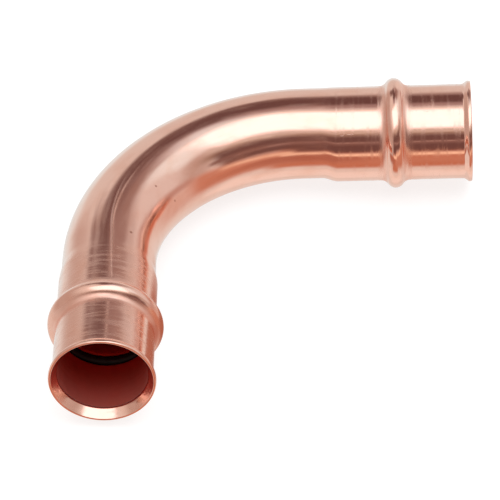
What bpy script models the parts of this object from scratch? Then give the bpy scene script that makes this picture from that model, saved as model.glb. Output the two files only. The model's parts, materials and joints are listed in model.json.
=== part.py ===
"""Long-radius 90 degree press elbow for copper refrigeration tube.

One copper tube is bent through a right angle, and each end is swelled into a socket. A socket
has a flared mouth, a guide, a bead with a rubber seal inside it, a second guide, and a taper
down to the tube, which stops the tube that is pushed in. The sockets are swelled a little off
the tube's middle, so the step between them shows below and not on top. The elbow lies as it
comes to rest: on its two beads and on the underside of its bend.

The elbow is drawn in its own plane first. Its port axes meet at the corner (0, 0, 0): the near
socket opens towards -Y and the far one towards +X. The resting frame then leans all of it.
"""

import math

import bmesh
import bpy
from mathutils import Matrix, Vector

MM = 0.001

# The tube that the sockets take: 5/8 inch outside
SERVED_TUBE_RADIUS = 15.875 * MM / 2
SLIDING_CLEARANCE = 0.10 * MM

# Elbow
WALL = 0.94 * MM
BEND_RADIUS = 35.5 * MM
STRAIGHT_LENGTH = 6.2 * MM
SOCKET_DEPTH = 25.4 * MM

# Taper between a socket and the tube: long outside, short inside where it is the tube stop
STOP_HEIGHT = 0.40 * MM
SHOULDER_LENGTH = 3.0 * MM
STOP_LENGTH = 1.2 * MM

# How far the tube runs above the sockets' axes, which makes it flush with them on top
TUBE_RISE = 0.40 * MM

# Flared mouth: outside, a step up to a rounded lip; inside, a cone blended into the bore
FLARE_LENGTH = 1.10 * MM
FLARE_RISE = 0.60 * MM
LIP_ROUND_LENGTH = 0.50 * MM
LIP_ROUND_DROP = 0.18 * MM
LIP_FACE = 0.30 * MM
LEAD_IN_DEPTH = 1.75 * MM
THROAT_RADIUS = 0.80 * MM

# Seal, and the bead that is pushed out of the wall to hold it, which thins the wall there
BEAD_DEPTH = 14.45 * MM
SEAL_SECTION = 2.00 * MM
SEAL_BITE = 0.40 * MM
SEAL_CLEARANCE = 0.15 * MM
BEAD_THINNING = 0.30 * MM
BEAD_FOOT_RADIUS = 1.40 * MM
GROOVE_EDGE_RADIUS = 0.70 * MM

# Facets
SIDES = 44
SEAL_SIDES = 12
BEND_STEPS = 20
CROWN_STEPS = 6
FOOT_STEPS = 2
LIP_STEPS = 3
THROAT_STEPS = 3
TAPER_STEPS = 4

# Sizes that follow
BORE_RADIUS = SERVED_TUBE_RADIUS + SLIDING_CLEARANCE
SOCKET_RADIUS = BORE_RADIUS + WALL
TUBE_BORE_RADIUS = BORE_RADIUS - STOP_HEIGHT
TUBE_RADIUS = TUBE_BORE_RADIUS + WALL
LIP_RADIUS = SOCKET_RADIUS + FLARE_RISE
LIP_FACE_RADIUS = LIP_RADIUS - LIP_ROUND_DROP
LIP_BORE_RADIUS = LIP_FACE_RADIUS - LIP_FACE
SEAL_CENTRE_RADIUS = BORE_RADIUS - SEAL_BITE + SEAL_SECTION / 2
GROOVE_CROWN_RADIUS = SEAL_SECTION / 2 + SEAL_CLEARANCE
BEAD_WALL = WALL - BEAD_THINNING
BEAD_CROWN_RADIUS = GROOVE_CROWN_RADIUS + BEAD_WALL
GROOVE_RADIUS = SEAL_CENTRE_RADIUS + GROOVE_CROWN_RADIUS
BEAD_RADIUS = GROOVE_RADIUS + BEAD_WALL
LEG_LENGTH = SOCKET_DEPTH + STRAIGHT_LENGTH
CENTRE_TO_END = BEND_RADIUS + LEG_LENGTH
BEND_LENGTH = BEND_RADIUS * math.pi / 2
CENTRELINE_LENGTH = 2 * LEG_LENGTH + BEND_LENGTH


def steps(first, last, count):
    """count + 1 evenly spaced values from first to last."""
    return [first + (last - first) * i / count for i in range(count + 1)]


def ridge(height, crown, foot):
    """Profile across a round ridge, from foot to foot: points (distance from its middle, height).

    A crown arc and two foot arcs, of the radii crown and foot, run into each other. On a ridge
    taller than both radii the sides stand straight up between them.
    """
    turn = math.acos(max(1 - height / (crown + foot), 0.0))
    half_width = (crown + foot) * math.sin(turn)
    rise = [
        (foot * math.sin(a) - half_width, foot * (1 - math.cos(a)))
        for a in steps(0, turn, FOOT_STEPS)
    ]
    top = [
        (crown * math.sin(a), height - crown * (1 - math.cos(a)))
        for a in steps(-turn, turn, CROWN_STEPS)
    ]
    fall = [(-along, up) for along, up in reversed(rise)]
    return rise + top[1:-1] + fall


def taper(start, length, from_radius, to_radius):
    """Smooth change of radius, level at both ends: points (depth, radius)."""
    return [
        (start + length * t, from_radius + (to_radius - from_radius) * t * t * (3 - 2 * t))
        for t in steps(0, 1, TAPER_STEPS)
    ]


def socket_outside():
    """Outer profile of a socket from its lip to the tube: points (depth, radius)."""
    lip = [
        (LIP_ROUND_LENGTH * (1 - math.cos(a)), LIP_FACE_RADIUS + LIP_ROUND_DROP * math.sin(a))
        for a in steps(0, math.pi / 2, LIP_STEPS)
    ]
    flare = taper(LIP_ROUND_LENGTH, FLARE_LENGTH, LIP_RADIUS, SOCKET_RADIUS)
    bead = [
        (BEAD_DEPTH + along, SOCKET_RADIUS + up)
        for along, up in ridge(BEAD_RADIUS - SOCKET_RADIUS, BEAD_CROWN_RADIUS, BEAD_FOOT_RADIUS)
    ]
    shoulder = taper(SOCKET_DEPTH, SHOULDER_LENGTH, SOCKET_RADIUS, TUBE_RADIUS)
    return lip + flare[1:] + bead + shoulder


def socket_inside():
    """Inner profile of a socket from its lip to the tube: points (depth, radius)."""
    slope = math.atan2(LIP_BORE_RADIUS - BORE_RADIUS, LEAD_IN_DEPTH)
    throat_end = LEAD_IN_DEPTH + THROAT_RADIUS * math.tan(slope / 2)
    lead_in = [(0.0, LIP_BORE_RADIUS)] + [
        (throat_end - THROAT_RADIUS * math.sin(a), BORE_RADIUS + THROAT_RADIUS * (1 - math.cos(a)))
        for a in steps(slope, 0, THROAT_STEPS)
    ]
    groove = [
        (BEAD_DEPTH + along, BORE_RADIUS + up)
        for along, up in ridge(GROOVE_RADIUS - BORE_RADIUS, GROOVE_CROWN_RADIUS, GROOVE_EDGE_RADIUS)
    ]
    stop = taper(SOCKET_DEPTH, STOP_LENGTH, BORE_RADIUS, TUBE_BORE_RADIUS)
    return lead_in + groove + stop + [(SOCKET_DEPTH + SHOULDER_LENGTH, TUBE_BORE_RADIUS)]


def whole_length(socket, tube_radius):
    """A profile of the whole elbow: socket, bend, and the same socket turned round."""
    bend = [
        (distance, tube_radius)
        for distance in steps(LEG_LENGTH, LEG_LENGTH + BEND_LENGTH, BEND_STEPS)
    ]
    far_socket = [(CENTRELINE_LENGTH - depth, radius) for depth, radius in reversed(socket)]
    return socket + bend + far_socket


def centreline(distance):
    """Point and in-plane sideways direction at a distance along the tube from the near mouth."""
    if distance < LEG_LENGTH:
        return Vector((0, distance - CENTRE_TO_END, 0)), Vector((1, 0, 0))
    if distance > LEG_LENGTH + BEND_LENGTH:
        return Vector((distance - CENTRELINE_LENGTH + CENTRE_TO_END, 0, 0)), Vector((0, -1, 0))
    angle = (distance - LEG_LENGTH) / BEND_RADIUS
    sideways = Vector((math.cos(angle), -math.sin(angle), 0))
    return Vector((BEND_RADIUS, -BEND_RADIUS, 0)) - BEND_RADIUS * sideways, sideways


def tube_share(distance):
    """How far the wall has changed from socket to tube at a distance: 0 to 1."""
    depth = min(distance, CENTRELINE_LENGTH - distance)
    t = min(max((depth - SOCKET_DEPTH) / SHOULDER_LENGTH, 0.0), 1.0)
    return t * t * (3 - 2 * t)


def add_ring(mesh, distance, radius):
    """Ring of corners square to the centreline, above it where it belongs to the tube."""
    centre, sideways = centreline(distance)
    centre += tube_share(distance) * Vector((0, 0, TUBE_RISE))
    ring = []
    for angle in steps(0, 2 * math.pi, SIDES)[:-1]:
        spoke = sideways * math.cos(angle) + Vector((0, 0, 1)) * math.sin(angle)
        ring.append(mesh.verts.new(centre + radius * spoke))
    return ring


def make_material(name, colour, metallic, roughness):
    material = bpy.data.materials.new(name)
    material.use_nodes = True
    shader = material.node_tree.nodes["Principled BSDF"]
    shader.inputs["Base Color"].default_value = (*colour, 1.0)
    shader.inputs["Metallic"].default_value = metallic
    shader.inputs["Roughness"].default_value = roughness
    return material


def add_object(name, mesh, frame):
    piece = bpy.data.objects.new(name, mesh)
    bpy.context.collection.objects.link(piece)
    piece.parent = frame
    return piece


def make_elbow(frame):
    """The copper tube: lofted down its outside, across the far lip and back up its bore."""
    outside = whole_length(socket_outside(), TUBE_RADIUS)
    inside = whole_length(socket_inside(), TUBE_BORE_RADIUS)
    loft = bmesh.new()
    rings = [add_ring(loft, distance, radius) for distance, radius in outside + inside[::-1]]
    for ring, following in zip(rings, rings[1:] + rings[:1]):
        for i in range(SIDES):
            j = (i + 1) % SIDES
            loft.faces.new((ring[i], ring[j], following[j], following[i]))
    bmesh.ops.recalc_face_normals(loft, faces=loft.faces)
    mesh = bpy.data.meshes.new("elbow_body")
    loft.to_mesh(mesh)
    loft.free()
    mesh.shade_smooth()
    mesh.set_sharp_from_angle(angle=math.radians(40))
    mesh.materials.append(make_material("copper", (0.80, 0.42, 0.30), 1.0, 0.22))
    return add_object("elbow_body", mesh, frame)


def make_seal_mesh():
    """An O-ring about its own Z axis."""
    ring = bmesh.new()
    circle = [
        ring.verts.new(
            (
                SEAL_CENTRE_RADIUS + SEAL_SECTION / 2 * math.cos(angle),
                0,
                SEAL_SECTION / 2 * math.sin(angle),
            )
        )
        for angle in steps(0, 2 * math.pi, SEAL_SIDES)[:-1]
    ]
    edges = [ring.edges.new((circle[i - 1], circle[i])) for i in range(SEAL_SIDES)]
    bmesh.ops.spin(
        ring,
        geom=circle + edges,
        axis=(0, 0, 1),
        cent=(0, 0, 0),
        steps=SIDES,
        angle=2 * math.pi,
        use_merge=True,
    )
    bmesh.ops.recalc_face_normals(ring, faces=ring.faces)
    mesh = bpy.data.meshes.new("o_ring")
    ring.to_mesh(mesh)
    ring.free()
    mesh.shade_smooth()
    return mesh


def make_seals(frame):
    """One O-ring in each bead's groove, both from the same mesh."""
    mesh = make_seal_mesh()
    mesh.materials.append(make_material("black_rubber", (0.012, 0.012, 0.013), 0.0, 0.45))
    from_corner = CENTRE_TO_END - BEAD_DEPTH
    near = add_object("near_o_ring", mesh, frame)
    near.location = (0, -from_corner, 0)
    near.rotation_euler = (math.radians(90), 0, 0)
    far = add_object("far_o_ring", mesh, frame)
    far.location = (from_corner, 0, 0)
    far.rotation_euler = (0, math.radians(90), 0)
    return [near, far]


def resting_lean():
    """Angle between the elbow's plane and the ground when two beads and the bend touch it.

    Along the diagonal from the corner, the beads lie further out than the middle of the bend,
    and they reach lower than the tube, so the mouths are the high side. A bead is met a little
    beside its crown's top, because its leg slopes too.
    """
    beads = (CENTRE_TO_END - BEAD_DEPTH) / math.sqrt(2)
    bend = BEND_RADIUS * (math.sqrt(2) - 1)
    bend_height = TUBE_RADIUS - TUBE_RISE
    lean = 0.0
    for _ in range(10):
        level = math.cos(math.asin(math.sin(lean) / math.sqrt(2)))
        bead_height = (BEAD_RADIUS - BEAD_CROWN_RADIUS) * level + BEAD_CROWN_RADIUS
        lean = math.asin((bead_height - bend_height) / (beads - bend))
    return lean


def lay_down(frame, pieces):
    """Lean the frame, then bring the middle of the part's footprint to the origin."""
    frame.matrix_world = Matrix.Rotation(-resting_lean(), 4, Vector((1, 1, 0)).normalized())
    bpy.context.view_layer.update()
    corners = [piece.matrix_world @ v.co for piece in pieces for v in piece.data.vertices]
    low = [min(corner[axis] for corner in corners) for axis in range(3)]
    high = [max(corner[axis] for corner in corners) for axis in range(3)]
    frame.location = (-(low[0] + high[0]) / 2, -(low[1] + high[1]) / 2, -low[2])
    bpy.context.view_layer.update()


def main():
    for old in list(bpy.data.objects):
        bpy.data.objects.remove(old, do_unlink=True)
    frame = bpy.data.objects.new("resting_frame", None)
    bpy.context.collection.objects.link(frame)
    pieces = [make_elbow(frame)] + make_seals(frame)
    lay_down(frame, pieces)


main()
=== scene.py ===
"""Looks of the copper press elbow: smooth surfaces, finishes, floor, studio light and camera.

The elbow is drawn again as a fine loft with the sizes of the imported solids, and is placed by
their seals and mouths. Sizes and texture coordinates are in millimetres, and meshes in metres.
"""

import json
import math
from types import SimpleNamespace

import bmesh
import bpy
import numpy as np
from mathutils import Matrix, Vector


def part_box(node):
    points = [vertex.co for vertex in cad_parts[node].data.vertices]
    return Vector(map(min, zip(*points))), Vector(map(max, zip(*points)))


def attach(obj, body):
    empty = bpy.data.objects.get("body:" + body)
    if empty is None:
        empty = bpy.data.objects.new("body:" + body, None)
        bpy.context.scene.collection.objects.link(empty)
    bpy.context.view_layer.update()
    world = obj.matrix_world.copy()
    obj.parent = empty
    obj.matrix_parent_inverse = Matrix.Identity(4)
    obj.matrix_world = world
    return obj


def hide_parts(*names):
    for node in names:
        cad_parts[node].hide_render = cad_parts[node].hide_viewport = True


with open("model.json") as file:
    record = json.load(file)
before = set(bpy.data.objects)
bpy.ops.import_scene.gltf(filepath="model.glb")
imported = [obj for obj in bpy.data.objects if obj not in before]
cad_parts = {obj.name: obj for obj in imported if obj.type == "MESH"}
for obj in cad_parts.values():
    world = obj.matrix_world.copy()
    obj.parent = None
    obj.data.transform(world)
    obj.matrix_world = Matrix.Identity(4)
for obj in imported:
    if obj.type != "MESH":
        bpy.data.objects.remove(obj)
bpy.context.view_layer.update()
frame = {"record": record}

MM = 0.001

# Sizes of the elbow, in millimetres
BORE_RADIUS = 8.0375
WALL = 0.94
STOP_HEIGHT = 0.40
BEND_RADIUS = 35.5
SOCKET_DEPTH = 25.4
SHOULDER_LENGTH = 3.0
TUBE_RISE = 0.40
STOP_LENGTH = 1.2
FLARE_LENGTH = 1.10
FLARE_RISE = 0.60
LIP_ROUND_LENGTH = 0.50
LIP_ROUND_DROP = 0.18
LIP_FACE = 0.30
LIP_EDGE = 0.08
LEAD_IN_DEPTH = 1.75
THROAT_RADIUS = 0.80
BEAD_DEPTH = 14.45
BEAD_THINNING = 0.30
BEAD_FOOT_RADIUS = 1.40
GROOVE_EDGE_RADIUS = 0.70
SEAL_SECTION = 2.00
SEAL_BITE = 0.40
SEAL_CLEARANCE = 0.15
# Round surfaces stay inside the corners of the faceted ones: the tube's skin by a clearance, and
# the seals by being drawn a little smaller
SKIN_CLEARANCE = 0.03
SEAL_SHRINK = 0.998

SOCKET_RADIUS = BORE_RADIUS + WALL
TUBE_BORE_RADIUS = BORE_RADIUS - STOP_HEIGHT
TUBE_RADIUS = TUBE_BORE_RADIUS + WALL
LIP_RADIUS = SOCKET_RADIUS + FLARE_RISE
LIP_FACE_RADIUS = LIP_RADIUS - LIP_ROUND_DROP
LIP_BORE_RADIUS = LIP_FACE_RADIUS - LIP_FACE
SEAL_CENTRE_RADIUS = BORE_RADIUS - SEAL_BITE + SEAL_SECTION / 2
GROOVE_CROWN_RADIUS = SEAL_SECTION / 2 + SEAL_CLEARANCE
BEAD_CROWN_RADIUS = GROOVE_CROWN_RADIUS + WALL - BEAD_THINNING
GROOVE_RADIUS = SEAL_CENTRE_RADIUS + GROOVE_CROWN_RADIUS
BEAD_RADIUS = GROOVE_RADIUS + WALL - BEAD_THINNING

# Fineness of the loft, and where a straight run longer than LONG_RUN gets its extra rings
SIDES = 224
LONG_RUN = 0.7
SUPPORT = 0.08
LIP_STEPS = 10
LIP_EDGE_STEPS = 5
FLARE_STEPS = 16
THROAT_STEPS = 8
BEAD_CROWN_STEPS = 26
BEAD_FOOT_STEPS = 8
GROOVE_CROWN_STEPS = 16
GROOVE_EDGE_STEPS = 5
SHOULDER_STEPS = 14
STOP_STEPS = 8
RISE_STEPS = 6
OUTSIDE_BEND_STEPS = 96
INSIDE_BEND_STEPS = 32
SEAL_ROUND = 192
SEAL_SIDES = 32

# Camera: the photograph's, 500 pixels wide and high
CAMERA_PLACE = Vector((-9.520, -446.524, 452.324)) * MM
CAMERA_TARGET = Vector((-3.083, -3.979, 10.6)) * MM
CAMERA_ROLL = math.radians(2.072)
SENSOR_WIDTH = 36.0
LENS = 246.44
CLIP_START = 0.05
CLIP_END = 20.0

# Stage, in metres. The light that the floor gives off keeps it nearly white in the part's shadow
FLOOR_REACH = 4.0
FLOOR_GREY = 0.30
FLOOR_ROUGHNESS = 0.8
FLOOR_GLOW = 0.78
WARM_CARD_MIDDLE = Vector((0.0, -0.014, 0.0004))
WARM_CARD_REACH = 0.026
LAMP_HEIGHT = 1.2
LAMP_SIZE = 1.2
LAMP_WATTS = 8.0

# Colours, linear
COPPER = (0.955, 0.638, 0.538)
COPPER_WARM = (0.93, 0.585, 0.475)
BORE_COPPER = (0.60, 0.035, 0.018)
MARK_COPPER = (0.42, 0.20, 0.14)
# Glow of the warm card: painted warm bounce light on the floor, seen only in reflections
WARM_BOUNCE_GLOW = (0.46, 0.18, 0.12)
# Painted shade: near black for the groove in the bore beside the seal
GROOVE_SHADE_BLACK = (0.02, 0.008, 0.007)
RUBBER = (0.010, 0.010, 0.010)
OILY_RUBBER = (0.022, 0.022, 0.022)
WHITE = (1.0, 1.0, 1.0)

# Noise on the copper: stretch across and along the tube, scale per millimetre, and detail
COPPER_NOISE = {
    "swell": ((1, 1, 0.6), 0.14, 1.0),
    "ripples": ((1, 1, 0.7), 0.75, 2.0),
    "streaks": ((1, 1, 0.03), 3.2, 3.0),
    "rings": ((0.03, 0.03, 1), 3.6, 3.0),
    "grain": ((1, 1, 1), 2.6, 3.0),
    "blotches": ((1, 1, 0.5), 0.35, 3.0),
    "brushing": ((0.14, 0.14, 1), 1.5, 4.0),
    "drawing": ((1, 1, 0.10), 1.5, 3.0),
    "patches": ((1, 1, 1), 0.55, 2.0),
    "lines": ((0.05, 0.05, 1), 4.0, 2.0),
}
# Height of the uneven skin in millimetres, and the share of it that the bore has
HEIGHTS = {"swell": 0.020, "ripples": 0.0030, "streaks": 0.0006, "rings": 0.0060, "grain": 0.0006}
BORE_HEIGHT_SHARE = 0.2
# Roughness of clean copper, and what each kind of wear adds to it
SOCKET_ROUGHNESS = 0.06
TUBE_ROUGHNESS = 0.11
WEAR = {
    "blotched": 0.05,
    "brushed": 0.16,
    "drawn": 0.10,
    "scratched": 0.16,
    "bead_foot": 0.20,
    "near_end": 0.08,
    "draw_line": 0.22,
    "nicked": 0.35,
    "bore": 0.25,
}
# Bands in millimetres: where they begin, are full, begin to fade, and end. The first two are
# measured from the bead's middle, and the last one along the tube from the near mouth
# Painted shade in the bore's groove beside the seal
GROOVE_SHADE_BAND = (-1.9, -1.3, 0.8, 1.2)
BEAD_FOOT_BAND = (1.2, 1.8, 2.6, 3.6)
DRAW_LINE_BAND = (17.0, 19.0, 40.0, 46.0)
# Side of the tube where the draw line would start at the near mouth, and its slant
DRAW_LINE_SIDE = 2.35
DRAW_LINE_SLANT = 0.045
# Depth over which the bore's look begins behind the lead-in cone
BORE_FADE = 0.4
# Dark spots: distance along the tube, angle round it in degrees, radius
MARKS = ((47.7, 50.5, 0.22), (31.1, 58.6, 0.26), (50.0, 18.0, 0.20))
MARK_STRENGTH = 0.8
# Bright nicks: distance along the tube, angle round it in degrees, half length and half width
NICKS = ((96.1, 38.4, 0.75, 0.10), (94.6, 37.0, 0.35, 0.08), (110.6, 64.0, 0.30, 0.07))
# Noise on the rubber: stretch, scale per metre, and detail; and the grain's height in metres
RUBBER_GRAIN = ((1, 1, 1), 2500.0, 3.0)
RUBBER_FILM = ((1, 1, 1), 400.0, 2.0)
RUBBER_GRAIN_HEIGHT = 0.01 * MM


def steps(first, last, count):
    """count + 1 evenly spaced values from first to last."""
    return [first + (last - first) * i / count for i in range(count + 1)]


def find_pose():
    """The elbow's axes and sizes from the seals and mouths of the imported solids."""
    mouths = {mount["name"]: Vector(mount["axis"]) for mount in frame["record"]["mounts"]}
    near_way, far_way = mouths["near_mouth"], mouths["far_mouth"]
    near_seal = sum(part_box("near_o_ring"), Vector()) / 2
    far_seal = sum(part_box("far_o_ring"), Vector()) / 2
    seal_from_corner = (near_seal - far_seal).length / (near_way - far_way).length
    pose = SimpleNamespace(near_way=near_way, far_way=far_way, near_seal=near_seal, far_seal=far_seal)
    pose.up = far_way.cross(-near_way).normalized()
    pose.corner = near_seal - near_way * seal_from_corner
    pose.centre_to_end = seal_from_corner / MM + BEAD_DEPTH
    pose.leg = pose.centre_to_end - BEND_RADIUS
    pose.bend = BEND_RADIUS * math.pi / 2
    pose.length = 2 * pose.leg + pose.bend
    pose.matrix = Matrix((far_way, -near_way, pose.up)).transposed()
    return pose


POSE = find_pose()


def ridge(height, crown, foot, crown_steps, foot_steps):
    """Profile across a round ridge, foot to foot: points (distance from its middle, height)."""
    turn = math.acos(max(1 - height / (crown + foot), 0.0))
    half_width = (crown + foot) * math.sin(turn)
    rise = [
        (foot * math.sin(a) - half_width, foot * (1 - math.cos(a)))
        for a in steps(0, turn, foot_steps)
    ]
    top = [
        (crown * math.sin(a), height - crown * (1 - math.cos(a)))
        for a in steps(-turn, turn, crown_steps)
    ]
    fall = [(-along, up) for along, up in reversed(rise)]
    return rise + top[1:-1] + fall


def taper(start, length, from_radius, to_radius, count):
    """Smooth change of radius, level at both ends: points (depth, radius)."""
    return [
        (start + length * t, from_radius + (to_radius - from_radius) * t * t * (3 - 2 * t))
        for t in steps(0, 1, count)
    ]


def soft_corner(before, corner, after):
    """Quadratic curve from one point to another, drawn towards a corner."""
    return [
        tuple(
            (1 - t) ** 2 * b + 2 * t * (1 - t) * c + t * t * a
            for b, c, a in zip(before, corner, after)
        )
        for t in steps(0, 1, LIP_EDGE_STEPS)
    ]


def brace(profile):
    """The profile with extra points close to the ends of its long runs, to keep them flat."""
    braced = profile[:1]
    for point in profile[1:]:
        last = braced[-1]
        run = math.dist(last, point)
        if run > LONG_RUN:
            for share in (SUPPORT / run, 1 - SUPPORT / run):
                braced.append(tuple(a + share * (b - a) for a, b in zip(last, point)))
        braced.append(point)
    return braced


def socket_outside():
    """Outer profile of a socket from its lip's face to the tube: points (depth, radius)."""
    lip = [
        (LIP_ROUND_LENGTH * (1 - math.cos(a)), LIP_FACE_RADIUS + LIP_ROUND_DROP * math.sin(a))
        for a in steps(0, math.pi / 2, LIP_STEPS)
    ]
    flare = taper(LIP_ROUND_LENGTH, FLARE_LENGTH, LIP_RADIUS, SOCKET_RADIUS, FLARE_STEPS)
    bead_ridge = ridge(
        BEAD_RADIUS - SOCKET_RADIUS,
        BEAD_CROWN_RADIUS,
        BEAD_FOOT_RADIUS,
        BEAD_CROWN_STEPS,
        BEAD_FOOT_STEPS,
    )
    bead = [(BEAD_DEPTH + along, SOCKET_RADIUS + up) for along, up in bead_ridge]
    shoulder = taper(SOCKET_DEPTH, SHOULDER_LENGTH, SOCKET_RADIUS, TUBE_RADIUS, SHOULDER_STEPS)
    profile = lip + flare[1:] + bead + shoulder
    return brace([(depth, radius - SKIN_CLEARANCE) for depth, radius in profile])


def socket_inside():
    """Inner profile of a socket from its lip's face to the tube: points (depth, radius)."""
    slope = math.atan2(LIP_BORE_RADIUS - BORE_RADIUS, LEAD_IN_DEPTH)
    cone_start = (LIP_EDGE * math.cos(slope), LIP_BORE_RADIUS - LIP_EDGE * math.sin(slope))
    edge = soft_corner((0.0, LIP_BORE_RADIUS + LIP_EDGE), (0.0, LIP_BORE_RADIUS), cone_start)
    throat_end = LEAD_IN_DEPTH + THROAT_RADIUS * math.tan(slope / 2)
    throat = [
        (throat_end - THROAT_RADIUS * math.sin(a), BORE_RADIUS + THROAT_RADIUS * (1 - math.cos(a)))
        for a in steps(slope, 0, THROAT_STEPS)
    ]
    groove_ridge = ridge(
        GROOVE_RADIUS - BORE_RADIUS,
        GROOVE_CROWN_RADIUS,
        GROOVE_EDGE_RADIUS,
        GROOVE_CROWN_STEPS,
        GROOVE_EDGE_STEPS,
    )
    groove = [(BEAD_DEPTH + along, BORE_RADIUS + up) for along, up in groove_ridge]
    stop = taper(SOCKET_DEPTH, STOP_LENGTH, BORE_RADIUS, TUBE_BORE_RADIUS, STOP_STEPS)
    rise = [
        (SOCKET_DEPTH + length, TUBE_BORE_RADIUS)
        for length in steps(STOP_LENGTH, SHOULDER_LENGTH, RISE_STEPS)
    ]
    return brace(edge + throat + groove + stop + rise[1:])


def whole_length(socket, tube_radius, bend_steps):
    """A profile of the whole elbow: socket, bend, and the same socket turned round."""
    bend = [
        (distance, tube_radius) for distance in steps(POSE.leg, POSE.leg + POSE.bend, bend_steps)
    ]
    far_socket = [(POSE.length - depth, radius) for depth, radius in reversed(socket)]
    return socket + bend + far_socket


def centreline(distance):
    """Point and in-plane sideways direction at a distance from the near mouth, elbow's plane."""
    if distance < POSE.leg:
        return Vector((0, distance - POSE.centre_to_end, 0)), Vector((1, 0, 0))
    if distance > POSE.leg + POSE.bend:
        return Vector((distance - POSE.length + POSE.centre_to_end, 0, 0)), Vector((0, -1, 0))
    angle = (distance - POSE.leg) / BEND_RADIUS
    sideways = Vector((math.cos(angle), -math.sin(angle), 0))
    return Vector((BEND_RADIUS, -BEND_RADIUS, 0)) - BEND_RADIUS * sideways, sideways


def tube_share(distance):
    """How far the wall has changed from socket to tube at a distance: 0 to 1."""
    depth = min(distance, POSE.length - distance)
    t = min(max((depth - SOCKET_DEPTH) / SHOULDER_LENGTH, 0.0), 1.0)
    return t * t * (3 - 2 * t)


def add_attribute(mesh, name, kind, values):
    field = "vector" if kind == "FLOAT_VECTOR" else "value"
    attribute = mesh.attributes.new(name, kind, "POINT")
    attribute.data.foreach_set(field, np.asarray(values, np.float32).ravel())


def make_elbow():
    """The copper tube, lofted down its outside, across the far lip and back up its bore.

    Each corner keeps its place on the tube: where it is round the tube and along it, its depth
    from the nearer mouth, and how far it counts as bore.
    """
    outside = whole_length(socket_outside(), TUBE_RADIUS - SKIN_CLEARANCE, OUTSIDE_BEND_STEPS)
    inside = whole_length(socket_inside(), TUBE_BORE_RADIUS, INSIDE_BEND_STEPS)
    profile = [(*point, 0.0) for point in outside] + [(*point, 1.0) for point in reversed(inside)]
    angles = np.array(steps(0, 2 * math.pi, SIDES)[:-1])
    round_tube = np.column_stack((np.cos(angles), np.sin(angles)))
    places, tube_places, depths, bores = [], [], [], []
    for distance, radius, bore in profile:
        centre, sideways = centreline(distance)
        centre += tube_share(distance) * Vector((0, 0, TUBE_RISE))
        depth = min(distance, POSE.length - distance)
        spokes = round_tube[:, :1] * np.array(sideways) + round_tube[:, 1:] * np.array((0, 0, 1))
        places.append(np.array(centre) + radius * spokes)
        tube_places.append(np.column_stack((radius * round_tube, np.full(SIDES, distance))))
        depths.append(np.full(SIDES, depth))
        behind_cone = min(max((depth - LEAD_IN_DEPTH) / BORE_FADE, 0.0), 1.0)
        bores.append(np.full(SIDES, bore * behind_cone))
    places = np.concatenate(places) * MM @ np.array(POSE.matrix.transposed()) + np.array(POSE.corner)
    corner = np.arange(len(profile) * SIDES).reshape(len(profile), SIDES)
    across = np.roll(corner, -1, axis=1)
    following, following_across = np.roll(corner, -1, axis=0), np.roll(across, -1, axis=0)
    faces = np.stack((corner, following, following_across, across), axis=-1).reshape(-1, 4)
    mesh = bpy.data.meshes.new("copper_elbow")
    mesh.from_pydata(places.tolist(), [], faces.tolist())
    turn_outwards(mesh)
    add_attribute(mesh, "tube_place", "FLOAT_VECTOR", np.concatenate(tube_places))
    add_attribute(mesh, "mouth_depth", "FLOAT", np.concatenate(depths))
    add_attribute(mesh, "bore_share", "FLOAT", np.concatenate(bores))
    mesh.shade_smooth()
    return add_object("copper_elbow", mesh)


def turn_outwards(mesh):
    loft = bmesh.new()
    loft.from_mesh(mesh)
    bmesh.ops.recalc_face_normals(loft, faces=loft.faces)
    loft.to_mesh(mesh)
    loft.free()


def add_object(name, data):
    piece = bpy.data.objects.new(name, data)
    bpy.context.scene.collection.objects.link(piece)
    return piece


def make_seal(name, centre, way):
    """A rubber O-ring round the way of its leg."""
    mesh = bpy.data.meshes.new(name)
    ring = bmesh.new()
    rows = []
    for turn in steps(0, 2 * math.pi, SEAL_ROUND)[:-1]:
        out = Vector((math.cos(turn), math.sin(turn), 0))
        row = []
        for angle in steps(0, 2 * math.pi, SEAL_SIDES)[:-1]:
            radius = SEAL_CENTRE_RADIUS + SEAL_SECTION / 2 * math.cos(angle)
            height = Vector((0, 0, SEAL_SECTION / 2 * math.sin(angle)))
            row.append(ring.verts.new((out * radius + height) * (MM * SEAL_SHRINK)))
        rows.append(row)
    for row, following in zip(rows, rows[1:] + rows[:1]):
        for i in range(SEAL_SIDES):
            j = (i + 1) % SEAL_SIDES
            ring.faces.new((row[i], following[i], following[j], row[j]))
    bmesh.ops.recalc_face_normals(ring, faces=ring.faces)
    ring.to_mesh(mesh)
    ring.free()
    mesh.transform(Matrix.Translation(centre) @ way.to_track_quat("Z", "Y").to_matrix().to_4x4())
    mesh.shade_smooth()
    return add_object(name, mesh)


def add_node(tree, kind, inputs=None, **settings):
    """A node with its settings; inputs maps a socket's name or number to a value or an output."""
    node = tree.nodes.new(kind)
    for name, value in settings.items():
        setattr(node, name, value)
    for socket, value in (inputs or {}).items():
        if isinstance(value, bpy.types.NodeSocket):
            tree.links.new(value, node.inputs[socket])
        else:
            node.inputs[socket].default_value = value
    return node


def maths(tree, operation, *values):
    return add_node(tree, "ShaderNodeMath", dict(enumerate(values)), operation=operation).outputs[0]


def product(tree, first, *others):
    """Several values multiplied together."""
    for other in others:
        first = maths(tree, "MULTIPLY", first, other)
    return first


def vector_maths(tree, operation, *values, gives="Vector"):
    node = add_node(tree, "ShaderNodeVectorMath", dict(enumerate(values)), operation=operation)
    return node.outputs[gives]


def ramp(tree, value, low, high, to_low=0.0, to_high=1.0):
    """A value that goes smoothly from to_low at low to to_high at high."""
    inputs = {"Value": value, "From Min": low, "From Max": high, "To Min": to_low, "To Max": to_high}
    node = add_node(tree, "ShaderNodeMapRange", inputs, interpolation_type="SMOOTHSTEP")
    return node.outputs["Result"]


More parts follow.
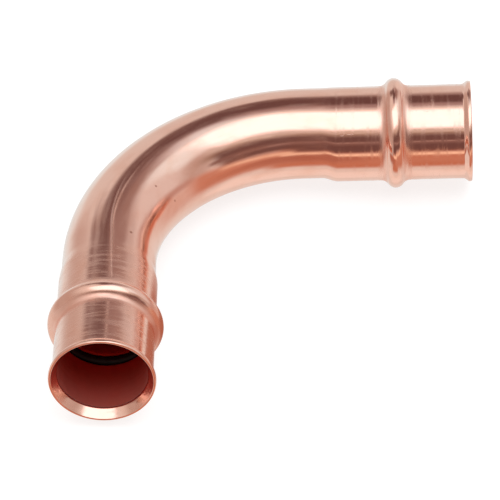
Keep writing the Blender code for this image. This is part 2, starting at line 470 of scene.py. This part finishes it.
def band(tree, value, begin, full, fade, end):
    """1 from full to fade, falling smoothly to 0 at begin and end."""
    return product(tree, ramp(tree, value, begin, full), ramp(tree, value, fade, end, 1.0, 0.0))


def noise(tree, place, stretch, scale, detail):
    """Noise over the coordinates in place, drawn out along the axes that stretch holds small."""
    stretched = vector_maths(tree, "MULTIPLY", place, stretch)
    inputs = {"Vector": stretched, "Scale": scale, "Detail": detail}
    return add_node(tree, "ShaderNodeTexNoise", inputs).outputs["Fac"]


def blend_colour(tree, share, first, second):
    node = add_node(tree, "ShaderNodeMix", {"Factor": share}, data_type="RGBA")
    for socket, colour in ((node.inputs[6], first), (node.inputs[7], second)):
        if isinstance(colour, bpy.types.NodeSocket):
            tree.links.new(colour, socket)
        else:
            socket.default_value = (*colour, 1.0)
    return node.outputs[2]


def new_material(name):
    material = bpy.data.materials.new(name)
    material.use_nodes = True
    return material, material.node_tree, material.node_tree.nodes["Principled BSDF"]


def read_skin(tree):
    """What the copper's look depends on: a point's place on the tube, and the noises there."""
    place = add_node(tree, "ShaderNodeAttribute", attribute_name="tube_place").outputs["Vector"]
    depth = add_node(tree, "ShaderNodeAttribute", attribute_name="mouth_depth").outputs["Fac"]
    bore = add_node(tree, "ShaderNodeAttribute", attribute_name="bore_share").outputs["Fac"]
    parts = add_node(tree, "ShaderNodeSeparateXYZ", {0: place}).outputs
    tube = ramp(tree, depth, SOCKET_DEPTH - 0.5, SOCKET_DEPTH + SHOULDER_LENGTH)
    skin = SimpleNamespace(place=place, depth=depth, bore=bore, tube=tube)
    skin.side, skin.up, skin.along = parts["X"], parts["Y"], parts["Z"]
    skin.socket = maths(tree, "SUBTRACT", 1.0, tube)
    skin.noise = {name: noise(tree, place, *settings) for name, settings in COPPER_NOISE.items()}
    skin.noise["rings"] = product(tree, skin.noise["rings"], skin.socket)
    return skin


def on_tube(radius, angle, distance):
    """A point in the tube's coordinates, with the angle round the tube in degrees."""
    turn = math.radians(angle)
    return radius * math.cos(turn), radius * math.sin(turn), distance


def nicks(tree, skin):
    """Where the bright nicks are: 0 to 1."""
    share = 0.0
    for distance, angle, half_length, half_width in NICKS:
        off = vector_maths(tree, "SUBTRACT", skin.place, on_tube(SOCKET_RADIUS, angle, distance))
        off = vector_maths(tree, "MULTIPLY", off, (1 / half_width, 1 / half_width, 1 / half_length))
        away = vector_maths(tree, "LENGTH", off, gives="Value")
        share = maths(tree, "MAXIMUM", ramp(tree, away, 0.5, 1.3, 1.0, 0.0), share)
    return share


def draw_line(tree, skin):
    """A fine line that drawing has left on top of the near leg, a little askew: 0 to 1."""
    side = maths(tree, "SUBTRACT", skin.side, DRAW_LINE_SIDE)
    off = maths(tree, "ABSOLUTE", maths(tree, "MULTIPLY_ADD", skin.along, DRAW_LINE_SLANT, side))
    on_top = ramp(tree, skin.up, 0.0, 1.0)
    return product(
        tree, ramp(tree, off, 0.08, 0.22, 1.0, 0.0), on_top, band(tree, skin.along, *DRAW_LINE_BAND)
    )


def find_wear(tree, skin):
    """Where each kind of wear is, 0 to 1, by its name in WEAR."""
    off_bead = maths(tree, "ABSOLUTE", maths(tree, "SUBTRACT", skin.depth, BEAD_DEPTH))
    lines = ramp(tree, skin.noise["lines"], 0.52, 0.80)
    patches = ramp(tree, skin.noise["patches"], 0.45, 0.65)
    behind_lip = ramp(tree, skin.depth, 1.2, 2.5)
    return {
        "blotched": ramp(tree, skin.noise["blotches"], 0.35, 0.80),
        "brushed": product(tree, ramp(tree, skin.noise["brushing"], 0.38, 0.72), skin.socket),
        "drawn": product(tree, ramp(tree, skin.noise["drawing"], 0.40, 0.75), skin.tube),
        "scratched": product(tree, lines, patches, skin.socket),
        "bead_foot": band(tree, off_bead, *BEAD_FOOT_BAND),
        "near_end": product(tree, ramp(tree, skin.along, 22.0, 32.0, 1.0, 0.0), behind_lip),
        "draw_line": draw_line(tree, skin),
        "nicked": nicks(tree, skin),
        "bore": skin.bore,
    }


def copper_height(tree, skin):
    """Height of the uneven skin, in millimetres."""
    height = 0.0
    for name, most in HEIGHTS.items():
        height = maths(tree, "MULTIPLY_ADD", skin.noise[name], most, height)
    return product(tree, height, ramp(tree, skin.bore, 0.0, 1.0, 1.0, BORE_HEIGHT_SHARE))


def copper_roughness(tree, skin):
    rough = ramp(tree, skin.tube, 0.0, 1.0, SOCKET_ROUGHNESS, TUBE_ROUGHNESS)
    for name, share in find_wear(tree, skin).items():
        rough = maths(tree, "MULTIPLY_ADD", share, WEAR[name], rough)
    return rough


def copper_colour(tree, skin):
    """Blotched and marked outside, dark red in the bore, with painted near-black shade in the groove
    beside the seal.
    """
    warmth = ramp(tree, skin.noise["blotches"], 0.40, 0.75)
    colour = blend_colour(tree, warmth, COPPER, COPPER_WARM)
    for distance, angle, radius in MARKS:
        middle = on_tube(TUBE_RADIUS, angle, distance)
        away = vector_maths(tree, "DISTANCE", skin.place, middle, gives="Value")
        share = ramp(tree, away, radius * 0.5, radius * 1.6, MARK_STRENGTH, 0.0)
        colour = blend_colour(tree, share, colour, MARK_COPPER)
    colour = blend_colour(tree, skin.bore, colour, BORE_COPPER)
    # Painted shade: the bore turns near black in the groove round the seal
    past_bead = maths(tree, "SUBTRACT", skin.depth, BEAD_DEPTH)
    groove_shade = product(tree, band(tree, past_bead, *GROOVE_SHADE_BAND), skin.bore)
    return blend_colour(tree, groove_shade, colour, GROOVE_SHADE_BLACK)


def make_copper():
    """Drawn copper: brushed round the sockets, drawn along the bend, dull and red in the bore."""
    material, tree, shader = new_material("drawn_copper")
    skin = read_skin(tree)
    height = copper_height(tree, skin)
    bump = add_node(tree, "ShaderNodeBump", {"Height": height, "Strength": 1.0, "Distance": MM})
    for socket, value in (
        ("Normal", bump.outputs["Normal"]),
        ("Base Color", copper_colour(tree, skin)),
        ("Roughness", copper_roughness(tree, skin)),
        ("Metallic", ramp(tree, skin.bore, 0.0, 1.0, 1.0, 0.5)),
        ("Specular IOR Level", ramp(tree, skin.bore, 0.0, 1.0, 0.5, 0.05)),
        ("Specular Tint", blend_colour(tree, skin.bore, WHITE, BORE_COPPER)),
    ):
        tree.links.new(value, shader.inputs[socket])
    return material


def make_rubber():
    """Black moulded rubber with a film of oil."""
    material, tree, shader = new_material("seal_rubber")
    place = add_node(tree, "ShaderNodeNewGeometry").outputs["Position"]
    grain = noise(tree, place, *RUBBER_GRAIN)
    film = noise(tree, place, *RUBBER_FILM)
    colour = blend_colour(tree, ramp(tree, film, 0.4, 0.8), RUBBER, OILY_RUBBER)
    tree.links.new(colour, shader.inputs["Base Color"])
    tree.links.new(ramp(tree, film, 0.3, 0.7, 0.35, 0.55), shader.inputs["Roughness"])
    shader.inputs["Specular IOR Level"].default_value = 0.25
    inputs = {"Height": grain, "Strength": 0.5, "Distance": RUBBER_GRAIN_HEIGHT}
    bump = add_node(tree, "ShaderNodeBump", inputs)
    tree.links.new(bump.outputs["Normal"], shader.inputs["Normal"])
    return material


def make_sheet(name, middle, reach):
    """A level square of the stage, in metres."""
    mesh = bpy.data.meshes.new(name)
    x, y, z = middle
    corners = [(-reach, -reach), (reach, -reach), (reach, reach), (-reach, reach)]
    mesh.from_pydata([(x + i, y + j, z) for i, j in corners], [], [(0, 1, 2, 3)])
    sheet = add_object(name, mesh)
    return sheet


def make_floor():
    """A wide plain pale sheet under the part, which mirror-like copper doesn't show."""
    floor = make_sheet("floor", (0, 0, 0), FLOOR_REACH)
    material, _, shader = new_material("pale_sheet")
    for socket, value in (
        ("Base Color", (FLOOR_GREY, FLOOR_GREY, FLOOR_GREY, 1.0)),
        ("Roughness", FLOOR_ROUGHNESS),
        ("Specular IOR Level", 0.0),
        ("Emission Color", (*WHITE, 1.0)),
        ("Emission Strength", FLOOR_GLOW),
    ):
        shader.inputs[socket].default_value = value
    floor.data.materials.append(material)
    floor.visible_glossy = False


def make_warm_card():
    """Painted warm light that the two legs throw on the floor between them: a glowing card, for
    reflections only.
    """
    card = make_sheet("warm_card", WARM_CARD_MIDDLE, WARM_CARD_REACH)
    material, tree, shader = new_material("warm_card")
    tree.nodes.remove(shader)
    place = add_node(tree, "ShaderNodeNewGeometry").outputs["Position"]
    away = vector_maths(tree, "DISTANCE", place, WARM_CARD_MIDDLE, gives="Value")
    share = ramp(tree, away, WARM_CARD_REACH / 2, WARM_CARD_REACH, 1.0, 0.0)
    clear = add_node(tree, "ShaderNodeBsdfTransparent").outputs["BSDF"]
    glow = add_node(tree, "ShaderNodeEmission", {"Color": (*WARM_BOUNCE_GLOW, 1.0)}).outputs["Emission"]
    mix = add_node(tree, "ShaderNodeMixShader", {"Fac": share, 1: clear, 2: glow})
    tree.links.new(mix.outputs["Shader"], tree.nodes["Material Output"].inputs["Surface"])
    card.data.materials.append(material)
    card.visible_camera = False
    card.visible_diffuse = False
    card.visible_shadow = False


def compass(azimuth, elevation):
    """Direction with azimuth 0 behind the part and 90 to its right, both in degrees."""
    a, e = math.radians(azimuth), math.radians(elevation)
    return Vector((math.sin(a) * math.cos(e), math.cos(a) * math.cos(e), math.sin(e)))


# What shows between the panels
PALE = (0.82, 0.75, 0.70)
# Panels of light and shade round the part, later ones in front: azimuth and elevation of the
# middle, half width, half height and softness of the edge in degrees, then colour
PANELS = {
    "left_wall": (-95, 12, 62, 26, 10, (0.56, 0.44, 0.39)),
    "back_table": (-14, -30, 24, 22, 10, (0.83, 0.93, 0.94)),
    "back_wall": (-12, 8, 22, 18, 8, (0.74, 0.69, 0.65)),
    "right_skirt": (86, -16, 30, 24, 10, (0.73, 0.54, 0.47)),
    "right_wall": (64, 24, 34, 22, 10, (0.77, 0.70, 0.67)),
    "right_end": (103, 24, 11, 22, 7, (0.58, 0.46, 0.41)),
    "right_strip": (68, 3, 32, 6, 4, (0.56, 0.36, 0.31)),
    "right_sky": (56, 59, 26, 18, 7, (0.93, 1.02, 1.03)),
    "back_right": (34, 36, 7, 22, 5, (0.60, 0.51, 0.48)),
    "back_middle": (15, 40, 15, 15, 5, (0.35, 0.235, 0.21)),
    "back_right_fade": (14, 60, 14, 6, 5, (0.62, 0.55, 0.55)),
    "back_fade": (-8, 64, 9, 8, 5, (0.38, 0.27, 0.26)),
    "back_left_card": (-32, 32, 6, 9, 3.5, (0.20, 0.11, 0.10)),
    "back_near_card": (-16, 38, 12, 8.5, 3.5, (0.20, 0.12, 0.11)),
    "back_soft_card": (6, 47, 9, 8, 5, (0.24, 0.15, 0.14)),
    "back_card": (-6, 49, 9, 12, 4.5, (0.15, 0.08, 0.075)),
    "back_slit": (4, 34, 1.2, 8, 1.0, (0.72, 0.60, 0.55)),
    "front_fade": (160, 42, 46, 6, 6, (0.40, 0.28, 0.22)),
    "front_card": (162, 21, 40, 18, 5, (0.17, 0.09, 0.08)),
    "front_streak": (158, 20, 42, 4, 3, (0.25, 0.14, 0.12)),
    "front_low_card": (184, 4, 18, 10, 4, (0.17, 0.085, 0.075)),
    "front_slit": (180, 21, 45, 1.0, 1.2, (0.46, 0.30, 0.26)),
    "warm_table": (182, -27, 24, 22, 6, (0.58, 0.23, 0.14)),
    "warm_side": (136, -18, 38, 19, 8, (0.61, 0.28, 0.19)),
    "table_edge": (182, -10.5, 17, 3.5, 2.5, (1.05, 0.74, 0.54)),
    "side_edge": (148, -5, 26, 3.5, 3.0, (0.92, 0.62, 0.45)),
    "under_light": (180, -78, 40, 14, 6, (0.95, 0.86, 0.80)),
    "softbox": (162, 78, 30, 22, 4.5, (1.70, 1.64, 1.66)),
    "back_haze": (34, 63, 8, 4, 4, (0.86, 0.92, 0.95)),
    "front_haze": (184, 46.5, 13, 3.5, 3, (0.66, 0.55, 0.47)),
    "side_haze": (146, 46, 12, 3.5, 3, (0.74, 0.66, 0.58)),
    "right_haze": (118, 44, 8, 4, 4, (0.66, 0.57, 0.50)),
}


def add_panel(tree, way, behind, azimuth, elevation, half_width, half_height, soft, colour):
    """Colour of a soft-edged panel laid over what is behind it."""
    forward = compass(azimuth, elevation)
    upward = compass(azimuth, elevation + 90)
    axes = (forward.cross(upward), forward, upward)
    right, ahead, up = (
        vector_maths(tree, "DOT_PRODUCT", way, axis, gives="Value") for axis in axes
    )
    share = None
    for angle, half in (
        (maths(tree, "ARCTAN2", right, ahead), half_width),
        (maths(tree, "ARCSINE", up), half_height),
    ):
        off = maths(tree, "ABSOLUTE", angle)
        inside = ramp(tree, off, math.radians(half - soft), math.radians(half + soft), 1.0, 0.0)
        share = inside if share is None else maths(tree, "MULTIPLY", share, inside)
    return blend_colour(tree, share, behind, colour)


def make_studio():
    """Surroundings that the copper mirrors, a plain bright backdrop, and a light for the floor."""
    world = bpy.data.worlds.new("studio")
    bpy.context.scene.world = world
    world.use_nodes = True
    tree = world.node_tree
    tree.nodes.clear()
    way = add_node(tree, "ShaderNodeTexCoord").outputs["Generated"]
    colour = PALE
    for panel in PANELS.values():
        colour = add_panel(tree, way, colour, *panel)
    seen = add_node(tree, "ShaderNodeLightPath").outputs["Is Camera Ray"]
    colour = blend_colour(tree, seen, colour, WHITE)
    background = add_node(tree, "ShaderNodeBackground", {"Color": colour})
    output = add_node(tree, "ShaderNodeOutputWorld")
    tree.links.new(background.outputs["Background"], output.inputs["Surface"])

    lamp = bpy.data.lights.new("floor_light", "AREA")
    lamp.size = LAMP_SIZE
    lamp.energy = LAMP_WATTS
    light = add_object("floor_light", lamp)
    light.location = (0, 0, LAMP_HEIGHT)
    light.visible_glossy = False


def make_camera():
    camera = bpy.data.cameras.new("camera")
    camera.sensor_width = SENSOR_WIDTH
    camera.lens = LENS
    camera.clip_start = CLIP_START
    camera.clip_end = CLIP_END
    holder = add_object("camera", camera)
    aim = (CAMERA_TARGET - CAMERA_PLACE).to_track_quat("-Z", "Y").to_matrix().to_4x4()
    holder.matrix_world = Matrix.Translation(CAMERA_PLACE) @ aim @ Matrix.Rotation(CAMERA_ROLL, 4, "Z")
    bpy.context.scene.camera = holder
    bpy.context.scene.view_settings.view_transform = "Standard"


def finish_piece(piece, node, material):
    piece.data.materials.append(material)
    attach(piece, "root")
    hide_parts(node)


make_camera()
make_studio()
make_floor()
make_warm_card()
finish_piece(make_elbow(), "elbow_body", make_copper())
rubber = make_rubber()
for leg, seal_centre, leg_way in (
    ("near", POSE.near_seal, POSE.near_way),
    ("far", POSE.far_seal, POSE.far_way),
):
    seal = make_seal(f"{leg}_seal", seal_centre, leg_way)
    finish_piece(seal, f"{leg}_o_ring", rubber)
